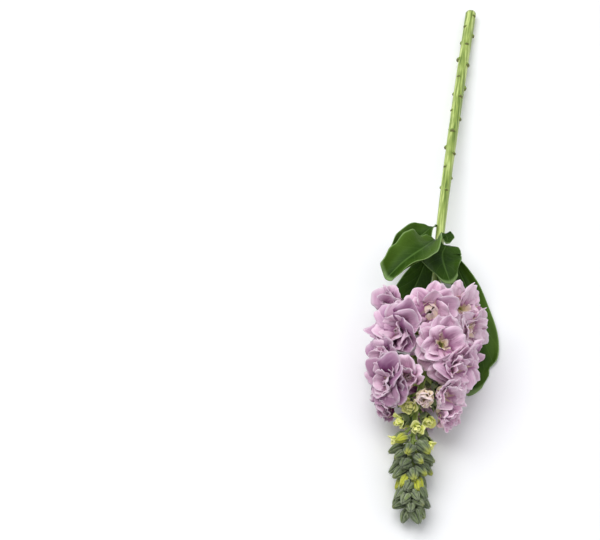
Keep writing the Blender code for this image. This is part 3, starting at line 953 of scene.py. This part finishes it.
def petalPlace(flower, ring, azimuth, seat, draw, planes):
    form = petalForm

    def drawn(name):
        return draw.uniform(*form[name])

    facing = flower["facing"]
    first, second = frameOf(facing, flower["ahead"])
    out = first * math.cos(azimuth) + second * math.sin(azimuth)
    across = facing.cross(out)
    length = ring["length"] * mm * drawn("lengths") * flower["size"]
    half = ring["width"] * mm / 2 * drawn("widths") * flower["size"]
    lift = ring["lift"] + flower["shut"] - form["seatLift"] * seat + draw.uniform(-1, 1) * ring["sway"]
    rise = petalRise(lift, ring["curl"] + drawn("curls"))
    pleat = drawn("pleat") * mm
    pleats = math.pi * draw.choice(form["pleats"])
    cup = ring["cup"] + drawn("cups")
    tilt = ring["tilt"] * flower["twist"] + drawn("tilts")
    keel = draw.choice(form["keels"])
    low = seat * form["seatStep"] * mm
    ripple = form["ripple"] * mm * drawn("ripples")
    beats = draw.choice(form["beats"])
    phase = draw.uniform(0, 2 * math.pi)
    roll = drawn("roll") * mm
    notch = drawn("notches")
    offset = Vector((draw.uniform(0, 50), draw.uniform(0, 50), draw.uniform(0, 50)))
    start = flower["mouth"] + facing * ((flowerHead["gap"] + form["seatHeight"]) * mm - low)
    foot = form["root"] * mm + low * 0.5

    def place(u, v):
        # the blade's square is rounded off to a disc, then narrowed to its foot
        w = 2.0 * v - 1.0
        sideways = u * math.sqrt(1.0 - w * w / 2)
        reach = ((w * math.sqrt(1.0 - u * u / 2) + 1.0) / 2) ** 0.88
        wide = half * mix(form["footWidth"], 1.0, smooth(reach / form["footLength"]))
        reach *= 1.0 - notch * math.exp(-(u * u) / form["notchWidth"]) * late(v, 0.7)
        i = min(int(reach * form["steps"]), form["steps"] - 1)
        share = reach * form["steps"] - i
        ahead, up, slope = [mix(a, b, share) for a, b in zip(rise[i], rise[i + 1])]
        # the ridge is how far the point stands out of the petal's own plane
        edge = max(abs(u), w)
        opened = smooth(v / 0.3)
        free = smooth(v / 0.4)
        loose = late(edge, 0.25) * free
        turn = math.atan2(u, w + 0.4)
        ridge = (cup * u * u + tilt * u + keel * abs(u)) * wide * opened
        ridge += ripple * loose * math.sin(beats * turn + phase)
        ridge += pleat * math.cos(pleats * u + phase) * opened * (1.0 - 0.4 * v)
        ridge += form["frill"] * mm * loose**2 * math.sin((2 * beats + 5) * turn + 2 * phase)
        spot = offset + Vector((sideways * wide, reach * length, 0)) / mm
        for height, size in (form["crumple"], form["crepe"]):
            ridge += height * mm * noise.noise(spot / size) * free
        ridge -= roll * late(edge, 0.7) ** 2 * free
        lean = out * math.cos(slope) + facing * math.sin(slope)
        normal = lean.cross(across)
        point = start + out * (foot + ahead * length) + facing * up * length
        point += across * sideways * wide + normal * ridge
        return aboveTable(pressed(point, planes, facing))

    return place


# The shape of a rolled petal: narrow at its foot, rounded at its tip, and closing over the heart.
rollForm = {
    "footWidth": 0.45,
    "footLength": 0.45,
    "tipLoss": 0.2,
    "rounding": 0.22,
    "closeFrom": 0.45,
    "slant": 0.35,
    "crumple": (0.3, 0.75),
    "drift": (-0.5, 0.5),
    "taper": 0.04,
    "heights": (0.88, 1.06),
    "tints": (0.1, 0.6),
    "deepAndPaintedShadeLoss": 0.4,
    "thickness": 0.3,
}


def wrapPlace(flower, base, azimuth, radius, height, spread, close, draw):
    # a small petal that is rolled round the flower's own axis
    form = rollForm
    facing = flower["facing"]
    first, second = frameOf(facing, flower["ahead"])
    phase = draw.uniform(0, 2 * math.pi)
    crumple = draw.uniform(*form["crumple"]) * mm
    beats = draw.choice(petalForm["beats"])
    drift = draw.uniform(*form["drift"]) * mm

    def place(u, v):
        wide = mix(form["footWidth"], 1.0, smooth(v / form["footLength"]))
        wide *= 1.0 - form["tipLoss"] * late(v, 0.7)
        angle = azimuth + u * spread * wide
        tall = v * (1.0 - form["rounding"] * u * u * v)
        around = radius * smooth(0.25 + v * 1.4) * (1.0 - close * late(tall, form["closeFrom"]) ** 1.5)
        around += crumple * math.sin(beats * u + phase) * v * v + form["slant"] * mm * u * v
        out = first * math.cos(angle) + second * math.sin(angle)
        return aboveTable(base + facing * tall * height + out * around + first * drift * v)

    return place


def ringPetals(flower, rings, planes, draw):
    made = []
    start = draw.uniform(0, 2 * math.pi)
    for level, row in enumerate(rings):
        ring = dict(zip(ringKeys, row))
        seats = petalForm["seats"][: ring["count"]]
        inner = max(level / len(rings), flower["pale"])
        for i in range(ring["count"]):
            turned = ring["turn"] + 360.0 / ring["count"] * i + draw.uniform(-1, 1) * petalForm["jitter"]
            seat = sorted(seats).index(seats[i])
            place = petalPlace(flower, ring, start + math.radians(turned), seat, draw, planes)
            # petals of deep flowers are darker: partly a deeper mauve, partly painted shade of neighbouring
            # heads that are not in the scene
            tint = mix(draw.uniform(0, 1), 1.0, flower["deep"]) * (1.0 - flower["pale"])
            made.append(bent(petalBlade, place, tint, inner, flower["hue"]))
    return made


def heartPetals(flower, draw):
    rule = dict(zip(heartKeys, hearts[flower["heart"] if flower["kind"] == "bloom" else flower["kind"]]))
    # the heart of a deep flower is less pale: partly a deeper tone, partly painted shade
    inner = 1.0 - rollForm["deepAndPaintedShadeLoss"] * min(1.0, flower["deep"])
    base = flower["mouth"] - flower["facing"] * mm
    made = []
    start = draw.uniform(0, 2 * math.pi)
    for i in range(rule["count"]):
        radius = (rule["inside"] + rule["step"] * i) * flower["size"] * mm
        height = rule["height"] * flower["size"] * mm * (1.0 - rollForm["taper"] * i)
        height *= draw.uniform(*rollForm["heights"])
        close = rule["close"] * (1.0 - rule["loosen"] * i)
        azimuth = start + math.radians(flowerHead["goldenTurn"]) * i
        place = wrapPlace(flower, base, azimuth, radius, height, rule["spread"], close, draw)
        # the ripe share gives this rosette more of its pale yellow tip colour: partly a riper tone, partly
        # painted light on a rosette that lies in the shade of the flowers above it
        tint = draw.uniform(*rollForm["tints"]) + flower["ripe"]
        made.append(bent(smallBlade, place, tint, inner, flower["hue"]))
    return made


def ringsOf(flower):
    rings = petalRings["folded" if flower["folded"] else flower["kind"]]
    return rings[: flower.get("rings", 3 if flower["heart"] == "hood" else 4)]


def buildFlower(flower):
    rings = ringsOf(flower)
    draw = random.Random(flower.get("seed", seeds["flower"] + flower["number"] * 7 + len(rings)))
    pieces = ringPetals(flower, rings, cellPlanes(flower), draw) + heartPetals(flower, draw)
    name = f"{flower['kind']}_{flower['number']:02d}"
    bloom = joined(pieces, "flower_" + name)
    applied(bloom, "SOLIDIFY", thickness=petalForm["thickness"] * mm, offset=0.0)
    finished(bloom, petalSkin, "petal_pink" if flower["kind"] == "bloom" else "young_pink", name)


def buildOpening(flower):
    # the folded petals at the mouth of an opening bud
    name = f"opening_{flower['number']:02d}"
    draw = random.Random(seeds["opening"] + flower["number"])
    opening = joined(heartPetals(flower, draw), "petals_" + name)
    applied(opening, "SOLIDIFY", thickness=rollForm["thickness"] * mm, offset=0.0)
    finished(opening, yellowSkin, "petal_yellow", name)


for flower in flowers:
    if flower["kind"] in ("bloom", "young"):
        buildFlower(flower)
print("open and half-open flowers made")
for flower in flowers:
    if flower["kind"] == "opening":
        buildOpening(flower)
print("opening buds made")


# Stem, stalks and scars

stemForm = {
    "sides": 28,
    "rings": 150,
    "ribs": 7,
    "ribDepth": 0.035,
    "ribTwist": 3.0,
    "swell": 0.03,
    "end": 84.0,
}
scarForm = {
    "first": 4.0,
    "step": 8.2,
    "count": 27,
    "stray": 2.2,
    "turn": 40.0,
    "sink": 0.1,
    "slant": 0.5,
    "length": 2.8,
    "foot": 1.5,
    "blunt": 0.55,
    "radius": 1.7,
    "taper": 0.25,
    "across": 1.15,
    "thick": 0.8,
    "sizes": (0.65, 1.15),
}
stalkForm = {"radius": 1.0, "flare": 0.5, "budRadius": 0.9}
cupForm = {"spread": 0.95, "close": -0.12, "height": 1.12, "radii": (1.12, 1.02), "thickness": 0.4}


def stemPlace(x, y, z):
    fromTip = mix(stemLength, stemForm["end"] * mm, z)
    point, ahead = stemAt(fromTip)
    radius = stemRadius(fromTip)
    share = math.hypot(x, y)
    angle = math.atan2(y, x)
    swell = 1.0 + stemForm["ribDepth"] * math.sin(stemForm["ribs"] * angle + stemForm["ribTwist"] * z)
    swell += stemForm["swell"] * noise.noise(Vector((x * 1.5, y * 1.5, fromTip * 90)))
    side, rise = frameOf(ahead, Vector((1, 0, 0)))
    at = point + (side * math.cos(angle) + rise * math.sin(angle)) * radius * share * swell
    at.z = max(at.z, 0.0)
    return at


def scarPlace(i):
    form = scarForm
    draw = random.Random(seeds["scar"] + i)
    fromEnd = form["first"] + i * form["step"] + draw.uniform(0, 1) * form["stray"]
    fromTip = stemLength - fromEnd * mm
    size = draw.uniform(*form["sizes"]) * mm
    point, ahead = stemAt(fromTip)
    out = outward(fromTip, form["turn"] + i * flowerHead["goldenTurn"])
    side = ahead.cross(out)
    centre = point + out * (stemRadius(fromTip) - form["sink"] * mm)
    slant = (ahead + out * form["slant"]).normalized()
    up = side.cross(slant)

    def place(x, y, z):
        # a ledge: a long foot that runs down the stem, and a blunt broken top
        flat = min(z, form["blunt"])
        taper = 1.0 + form["taper"] * z
        at = centre + slant * flat * form["length"] * (1.0 if z > 0 else form["foot"]) * size
        at += (side * x * form["across"] + up * y * form["thick"]) * form["radius"] * taper * size
        at.z = max(at.z, 0.0)
        return at

    return place


def buildScars():
    scars = []
    for i in range(scarForm["count"]):
        scar = shaped(scarBall, "scar", scarPlace(i))
        mark(scar, 1.0)
        scars.append(scar)
    finished(joined(scars, "leafScars"), scarSkin, "stem_green")


def buildStalk(flower, radius, flare):
    # from the stem to the foot of the flower, wider at both ends by the flare
    facing = flower["facing"]
    first, second = frameOf(facing, flower["ahead"])

    def place(x, y, z):
        wide = 1.0 + flare * (1.0 - z) ** 6 + flare * z**4
        at = flower["root"] + facing * z * (flower["stalk"] + mm)
        return at + (first * x + second * y) * radius * mm * wide

    return shaped(stalkTube, "stalk", place)


def buildCup(flower):
    # four sepals round the foot of a flower, two of them outside the others
    rule = kinds[flower["kind"]]
    draw = random.Random(seeds["cup"] + flower["number"])
    base = flower["root"] + flower["facing"] * flower["stalk"]
    height = rule["cup"] * mm * cupForm["height"]
    sepals = []
    for i in range(4):
        azimuth = math.radians(90.0 * i)
        radius = rule["cupRadius"] * mm * cupForm["radii"][i % 2]
        place = wrapPlace(flower, base, azimuth, radius, height, cupForm["spread"], cupForm["close"], draw)
        sepals.append(bent(sepalBlade, place, 0.5))
    return sepals


def buildStalks():
    opened = [flower for flower in flowers if flower["kind"] != "closed"]
    stalks = [buildStalk(flower, stalkForm["radius"], stalkForm["flare"]) for flower in opened]
    finished(joined(stalks, "flowerStalks"), stemSkin, "stem_green")
    cups = joined([sepal for flower in opened for sepal in buildCup(flower)], "sepalCups")
    applied(cups, "SOLIDIFY", thickness=cupForm["thickness"] * mm, offset=0.0)
    finished(cups, cupSkin, "stem_green")


stemTube = tubeModel("stemTube", stemForm["sides"], stemForm["rings"])
finished(shaped(stemTube, "stemSkinned", stemPlace), stemSkin, "stem_green", "stem")
scarBall = ballModel("scarBall", 12, 8)
buildScars()
stalkTube = tubeModel("stalkTube", 10, 6)
buildStalks()
print("stem, stalks and sepals made")


# The spike of closed buds

# first and last are the length and radius of the lowest and the highest bud.
budForm = {
    "first": (12.5, 3.6),
    "last": (9.5, 3.5),
    "groove": 0.3,
    "ribs": 12,
    "ribDepth": 0.09,
    "sepalTip": 0.18,
    "hairs": 90,
    "hairSpan": (-0.9, 0.97),
    "hairRoot": 0.97,
    "hairStray": (0.4, 0.1, 0.8),
    "hairLength": 0.4,
    "hairWidth": 0.012,
    "hairTall": (0.6, 1.1),
    "stray": 0.14,
    "seat": 0.46,
    "lengths": (0.84, 1.12),
    "radii": (0.8, 1.12),
    "bows": (0.4, 1.4),
    "taper": 0.14,
    "tableClear": 0.1,
    "yellows": (0.0, 0.0, 0.0, 0.0, 0.12, 0.3),
    "yellowWaist": 3.0,
    "yellowFrom": 51.0,
    "yellowTop": 0.8,
    "core": (81.6, 6.0),
}


def hairModel():
    # short hairs all over the ball, leaning to its tip
    deselect()
    bpy.ops.mesh.primitive_cone_add(vertices=3, radius1=1.0, radius2=0.0, depth=1.0, location=(0, 0, 0.5))
    spine = bpy.context.object
    bpy.ops.object.transform_apply(location=True, rotation=True, scale=True)
    draw = random.Random(seeds["hair"])
    aside, least, most = budForm["hairStray"]
    hairs = []
    for i in range(budForm["hairs"]):
        height = mix(*budForm["hairSpan"], (i + 0.5) / budForm["hairs"])
        angle = math.radians(flowerHead["goldenTurn"] * i)
        across = math.sqrt(1.0 - height * height)
        root = Vector((across * math.cos(angle), across * math.sin(angle), height))
        stray = Vector((draw.uniform(-aside, aside), draw.uniform(-aside, aside), draw.uniform(least, most)))
        lean = (root + stray).normalized()
        first, second = frameOf(lean, Vector((0.3, 0.1, 1.0)))
        tall = budForm["hairLength"] * draw.uniform(*budForm["hairTall"])

        def hairPlace(x, y, z):
            wide = budForm["hairWidth"]
            return root * budForm["hairRoot"] + lean * z * tall + (first * x + second * y) * wide

        hairs.append(shaped(spine, "hair", hairPlace))
    bpy.data.objects.remove(spine, do_unlink=True)
    return joined(hairs, "hairModel")


def budPlace(flower, share, draw):
    # the ball with four sepals that meet at a blunt point, standing on its stalk
    form = budForm
    length, radius = [mix(a, b, share) * mm for a, b in zip(form["first"], form["last"])]
    first, second = frameOf(flower["facing"], flower["ahead"])
    lean = first * draw.uniform(-1, 1) + second * draw.uniform(-1, 1)
    facing = (flower["facing"] + lean * form["stray"]).normalized()
    first, second = frameOf(facing, flower["ahead"])
    middle = flower["root"] + flower["facing"] * flower["stalk"] + facing * length * form["seat"]
    spin = draw.uniform(0, math.pi)
    bow = draw.uniform(*form["bows"]) * mm
    length *= draw.uniform(*form["lengths"])
    radius *= draw.uniform(*form["radii"])

    def place(x, y, z):
        angle = math.atan2(y, x)
        sepal = abs(math.sin(2 * angle))
        shape = 1.0 - form["groove"] * (1.0 - sepal) ** 2
        shape += form["ribDepth"] * math.cos(form["ribs"] * angle) * sepal
        around = math.hypot(x, y) * radius * (1.0 - form["taper"] * z) * shape
        out = first * math.cos(angle + spin) + second * math.sin(angle + spin)
        tall = z + form["sepalTip"] * sepal * late(z, 0.6)
        at = middle + facing * tall * length / 2 + out * around + flower["ahead"] * bow * z * z
        at.z = max(at.z, form["tableClear"] * mm)
        return at

    return place


def yellowOf(flower, draw):
    # buds are yellow at the waist of the spike and at its foot, and a few are a little so elsewhere
    fromWaist = (flower["fromTip"] - flowerHead["waist"]["at"]) / budForm["yellowWaist"]
    atFoot = budForm["yellowTop"] if flower["fromTip"] > budForm["yellowFrom"] else 0.0
    return max(math.exp(-(fromWaist**4)), draw.choice(budForm["yellows"]), atFoot)


def spikeStemPlace(x, y, z):
    fromTip = mix(*budForm["core"], z) * mm
    point, ahead = stemAt(fromTip)
    side, rise = frameOf(ahead, Vector((1, 0, 0)))
    return point + (side * x + rise * y) * stemRadius(fromTip)


def buildSpike():
    closed = [flower for flower in flowers if flower["kind"] == "closed"]
    buds, hairs = [], []
    for i, flower in enumerate(closed):
        draw = random.Random(seeds["bud"] + i)
        place = budPlace(flower, i / (len(closed) - 1), draw)
        bud = shaped(budBall, "bud", place)
        yellow = yellowOf(flower, draw)
        mark(bud, yellow, draw.uniform(0, 1))
        buds.append(bud)
        hairs.append(shaped(hairBall, "hairs", place))
    stalks = [shaped(spikeTube, "spikeStem", spikeStemPlace)]
    stalks += [buildStalk(flower, stalkForm["budRadius"], 0.0) for flower in closed]
    finished(joined(stalks, "spikeStalks"), stemSkin, "bud_green")
    finished(joined(buds, "closedBuds"), budSkin, "bud_green", "bud_spike")
    finished(joined(hairs, "budHairs"), hairSkin, "bud_green")


budBall = ballModel("budBall", 40, 18)
hairBall = hairModel()
spikeTube = tubeModel("spikeTube", 14, 24)
buildSpike()
print("bud spike made")


# Leaves

# at and turn are where a leaf stands on the stem, and its route is where its midline goes from there.
leafKeys = ("at", "turn", "width", "bank", "wave", "fold", "hem", "paleSides")
leafRows = [
    (224, 22, 10, 4, 0.6, 0.2, 0.0, 0.0),
    (217, -30, 25, -10, 2.2, 0.4, 3.6, 0.6),
    (213, 30, 25, 8, 0.9, 0.14, 1.8, 0.1),
    (214, 104, 28, 4, 1.2, 0.14, 2.6, 0.35),
    (206, -106, 24, -4, 1.2, 0.14, 0.0, 0.0),
    (232, -60, 21, 8, 1.2, 0.2, 1.6, 0.3),
]
leafRoutes = [
    [(0, -27, 27), (0, -34, 29)],
    [(-16, -47, 36), (-27, -61, 37), (-38, -73, 30)],
    [(-2, -42, 27), (0, -54, 30), (6, -67, 26)],
    [(16, -50, 7), (28, -82, 1), (30, -113, -2), (25, -139, -1)],
    [(-18, -57, 7), (-27, -82, 0), (-31, -106, -2)],
    [(-18, -22, 21), (-28, -33, 22), (-36, -44, 19)],
]
# What all leaves share. sides and full say how wide each half is and where it is full, the left half first.
# A dent has its place and depth, and the depth's sign says which half it is in.
leafForm = {
    "steps": 24,
    "spread": 44.0,
    "shaft": 7.0,
    "tableClear": 0.3,
    "thickness": 0.45,
    "rounding": 0.07,
    "sides": (1.0, 1.0),
    "full": (0.62, 0.62),
    "dent": (0.5, 0.0),
    "footWidth": 0.13,
    "tipLoss": 0.5,
    "tipFrom": 0.66,
    "dentLength": 0.03,
    "waves": (15.0, 34.0),
    "wavePhase": 1.9,
    "smallWave": 0.35,
    "rib": (0.35, 0.07),
    "veins": (0.12, 0.09),
}
leafTraits = {
    2: {"sides": (1.0, 1.5)},
    3: {"sides": (1.45, 1.0), "full": (0.8, 0.42)},
    4: {"full": (0.62, 0.9), "dent": (0.865, 0.25)},
}


def leafSteps(leaf):
    # the midline in even steps, each with its point and its directions across and out of the blade
    fromTip = leaf["at"] * mm
    root, ahead = stemAt(fromTip)
    out = outward(fromTip, leaf["turn"])
    spread = math.radians(leaf["spread"])
    first = (ahead * math.cos(spread) + out * math.sin(spread)).normalized()
    rootSide = out.cross(ahead)
    start = root + first * (stemRadius(fromTip) / math.sin(spread) + flowerHead["gap"] * mm)
    route = [start, start + first * leaf["shaft"] * mm] + [Vector(p) * mm for p in leaf["route"]]
    steps = []
    for i in range(leaf["steps"] + 1):
        v = i / leaf["steps"]
        point = curvePoint(route, v)
        before = curvePoint(route, max(0.0, v - 0.01))
        after = curvePoint(route, min(1.0, v + 0.01))
        direction = (after - before).normalized()
        level = Vector((-direction.y, direction.x, 0.0)).normalized()
        side = Matrix.Rotation(math.radians(leaf["bank"]), 3, -direction) @ level
        if rootSide.dot(side) < 0:
            rootSide.negate()
        side = rootSide.lerp(side, smooth(v / 0.5))
        side = (side - direction * side.dot(direction)).normalized()
        steps.append((point, side, direction.cross(side)))
    return steps


def leafPlace(leaf):
    steps = leafSteps(leaf)
    spot, depth = leaf["dent"]

    def place(u, v):
        reach = v * (1.0 - leaf["rounding"] * u * u * v)
        i = min(int(reach * leaf["steps"]), leaf["steps"] - 1)
        share = reach * leaf["steps"] - i
        middle, side, normal = [a.lerp(b, share) for a, b in zip(steps[i], steps[i + 1])]
        right = 1 if u > 0 else 0
        wide = leaf["width"] * mm / 2 * mix(1.0, leaf["sides"][right], smooth((v - 0.4) / 0.3))
        wide *= mix(leaf["footWidth"], 1.0, smooth(v / leaf["full"][right]))
        wide *= 1.0 - leaf["tipLoss"] * late(v, leaf["tipFrom"]) ** 1.5
        if u * depth > 0:
            wide *= 1.0 - abs(depth) * math.exp(-(((v - spot) / leaf["dentLength"]) ** 2))
        phase = leaf["wavePhase"] * right
        far = abs(u)
        opened = smooth(v / 0.3)
        wave = leaf["wave"] * mm * opened
        lift = leaf["fold"] * far**1.5 * wide
        lift += leaf["hem"] * mm * late(far, 0.5) * smooth(v / 0.4)
        lift += wave * math.sin(v * leaf["waves"][0] + phase) * far**1.5
        lift += wave * leaf["smallWave"] * math.sin(v * leaf["waves"][1] + phase * 2 + u) * far**3
        ribHeight, ribWidth = leaf["rib"]
        lift -= ribHeight * mm * math.exp(-((u / ribWidth) ** 2))
        veinHeight, veinWidth = leaf["veins"]
        veins = abs((v * leafLook["veinCount"] - far * leafLook["veinSlant"]) % 1.0 - 0.5)
        lift -= veinHeight * mm * math.exp(-((veins / veinWidth) ** 2)) * smooth(far / 0.1)
        return aboveTable(middle + side * u * wide + normal * lift, leaf["tableClear"])

    return place


for number, (row, route) in enumerate(zip(leafRows, leafRoutes), 1):
    leaf = {**leafForm, **dict(zip(leafKeys, row)), "route": route, **leafTraits.get(number, {})}
    blade = joined([bent(leafBlade, leafPlace(leaf), leaf["paleSides"])], f"blade_leaf_{number}")
    applied(blade, "SOLIDIFY", thickness=leaf["thickness"] * mm, offset=0.0)
    finished(blade, leafSkin, "leaf_green", f"leaf_{number}")
print("leaves made")

for model in (petalBlade, smallBlade, sepalBlade, leafBlade):
    bpy.data.objects.remove(model, do_unlink=True)
for model in (stemTube, stalkTube, spikeTube, scarBall, budBall, hairBall):
    bpy.data.objects.remove(model, do_unlink=True)


# Table, light and camera

studio = {
    "floor": (0.96, 0.96, 0.97),
    "floorSize": 5.0,
    "sky": (0.94, 0.96, 1.0),
    "skyPower": 0.5,
    "key": {"place": (-0.45, 0.1, 1.25), "size": 1.2, "power": 13.5},
    "fill": {"place": (0.8, -0.4, 1.2), "size": 1.2, "power": 2.6},
    "camera": (-0.002, -0.684, 0.766),
    "aim": (-0.100, -0.049, 0.0),
    "lens": 85.0,
    "sensor": 36.0,
}


def aimed(thing, target):
    # turns a lamp or the camera to face the target
    thing.rotation_euler = (Vector(target) - thing.location).to_track_quat("-Z", "Y").to_euler()


def areaLight(name, rule):
    deselect()
    bpy.ops.object.light_add(type="AREA", location=rule["place"])
    lamp = bpy.context.object
    lamp.name = name
    lamp.data.energy = rule["power"]
    lamp.data.size = rule["size"]
    aimed(lamp, (0, 0, 0))


def layFloor():
    deselect()
    bpy.ops.mesh.primitive_plane_add(size=studio["floorSize"], location=(0, 0, 0))
    floor = bpy.context.object
    floor.name = "floor"
    skin = startMaterial("floorSkin", Roughness=0.7, Base_Color=(*studio["floor"], 1.0))[0]
    floor.data.materials.append(skin)


def lightSky():
    world = bpy.data.worlds.new("softSky")
    bpy.context.scene.world = world
    world.use_nodes = True
    background = world.node_tree.nodes["Background"]
    feed(background, {"Color": studio["sky"], "Strength": studio["skyPower"]})


def placeCamera():
    bpy.ops.object.camera_add(location=studio["camera"])
    camera = bpy.context.object
    camera.data.lens = studio["lens"]
    camera.data.sensor_width = studio["sensor"]
    aimed(camera, studio["aim"])
    bpy.context.scene.camera = camera


areaLight("keyLight", studio["key"])
areaLight("fillLight", studio["fill"])
layFloor()
lightSky()
bpy.context.scene.view_settings.view_transform = "Standard"
placeCamera()
print("table, light and camera placed")
